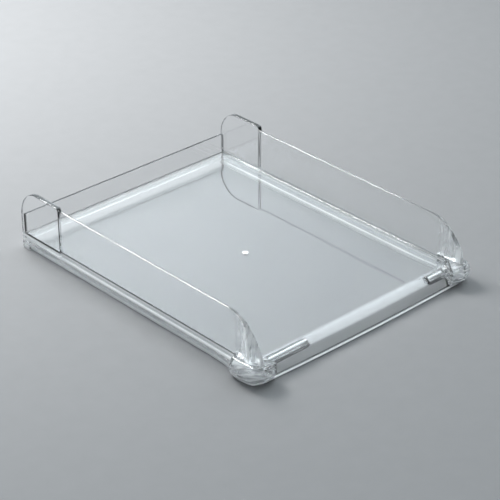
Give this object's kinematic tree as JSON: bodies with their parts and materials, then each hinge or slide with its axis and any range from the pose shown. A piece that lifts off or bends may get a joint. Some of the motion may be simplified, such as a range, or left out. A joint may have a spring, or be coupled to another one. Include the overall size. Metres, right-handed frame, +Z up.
{
  "type": "letter tray",
  "caption": "Clear portrait letter tray: raised flat floor, low back wall, tall side walls with rear stacking tabs, rolled-down open front, thick corner feet and stop pegs.",
  "frame": {"origin": "middle of the footprint, on the desk surface", "axes": "+X right across the width, +Y from the open front to the back wall, +Z up"},
  "size_m": [0.272, 0.328, 0.062],
  "materials": {
    "clear_sheet": "clear moulded polystyrene sheet, polished",
    "clear_block": "thick clear moulded polystyrene, polished, faint blue-grey"
  },
  "bodies": {
    "root": {"floor_panel": "clear_sheet", "front_roll": "clear_sheet", "front_lip": "clear_sheet", "back_wall": "clear_sheet", "back_rail": "clear_sheet", "right_side_wall": "clear_sheet", "left_side_wall": "clear_sheet", "right_side_rail": "clear_sheet", "left_side_rail": "clear_sheet", "right_rear_tab": "clear_sheet", "left_rear_tab": "clear_sheet", "right_rear_post": "clear_block", "left_rear_post": "clear_block", "right_wall_end": "clear_block", "left_wall_end": "clear_block", "right_corner_foot": "clear_block", "left_corner_foot": "clear_block", "right_stop_peg": "clear_block", "left_stop_peg": "clear_block"}
  },
  "joints": []
}
